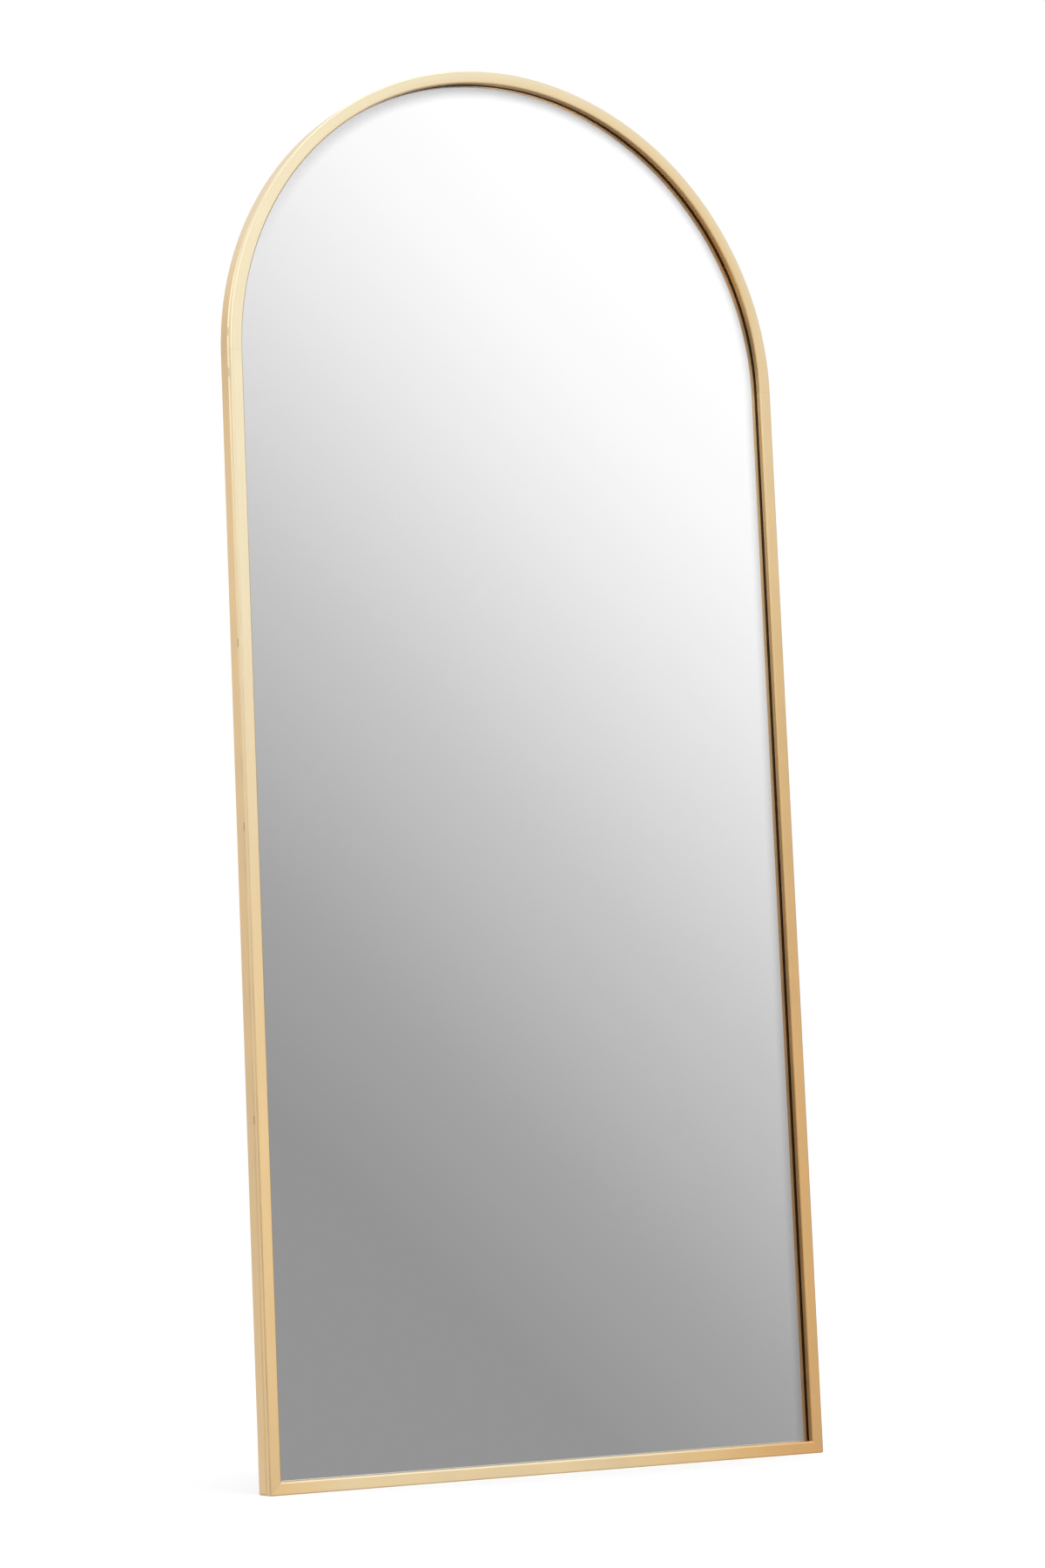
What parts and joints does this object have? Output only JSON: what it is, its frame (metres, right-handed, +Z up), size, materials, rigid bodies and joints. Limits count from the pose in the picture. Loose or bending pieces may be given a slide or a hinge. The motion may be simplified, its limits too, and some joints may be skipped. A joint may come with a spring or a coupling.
{
  "type": "full-length wall mirror",
  "caption": "Arched full-length mirror in a slim gold metal frame with square bottom corners, hung on swinging D-rings with rubber bumpers at the back.",
  "frame": {"origin": "on the bottom edge of the frame, at the middle of its width and of the whole depth from the frame's face to the bumpers' wall faces", "axes": "+Z up along the mirror's height, +X across its width to the right seen from the front, +Y from its face towards the wall"},
  "size_m": [0.75, 0.038, 1.6999],
  "materials": {
    "gold_anodised": "satin",
    "float_glass": "polished",
    "silvering": "polished",
    "safety_film": "satin",
    "foam_rubber": "matte",
    "black_rubber": "matte",
    "honeycomb_paper": "matte",
    "painted_fibreboard": "matte",
    "black_steel": "satin",
    "zinc_steel": "satin"
  },
  "bodies": {
    "root": {"arch_rail": "gold_anodised", "left_stile": "gold_anodised", "right_stile": "gold_anodised", "bottom_rail": "gold_anodised", "left_corner_key": "zinc_steel", "right_corner_key": "zinc_steel", "left_splice_key": "zinc_steel", "right_splice_key": "zinc_steel", "grub_screws": "zinc_steel", "mirror_glass": "float_glass", "silver_coating": "silvering", "safety_film": "safety_film", "glazing_tape": "foam_rubber", "setting_blocks": "black_rubber", "arch_glazing_strip": "foam_rubber", "left_glazing_strip": "foam_rubber", "right_glazing_strip": "foam_rubber", "bottom_glazing_strip": "foam_rubber", "core_sheet": "honeycomb_paper", "back_board": "painted_fibreboard", "back_board_screws": "black_steel", "left_hanger_plate": "zinc_steel", "right_hanger_plate": "zinc_steel", "left_hanger_strap": "zinc_steel", "right_hanger_strap": "zinc_steel", "hanger_screws": "zinc_steel", "left_wall_bumper": "black_rubber", "right_wall_bumper": "black_rubber", "bumper_screws": "zinc_steel"},
    "left_ring": {"left_hanger_ring": "zinc_steel"},
    "right_ring": {"right_hanger_ring": "zinc_steel"}
  },
  "joints": [
    {"name": "left_ring_swing", "type": "hinge", "parent": "root", "child": "left_ring", "pos_m": [-0.353, 0.0142, 1.215], "axis": [1, 0, 0], "range_deg": [-3, 187]},
    {"name": "right_ring_swing", "type": "hinge", "parent": "root", "child": "right_ring", "pos_m": [0.353, 0.0142, 1.215], "axis": [1, 0, 0], "range_deg": [-3, 187]}
  ]
}
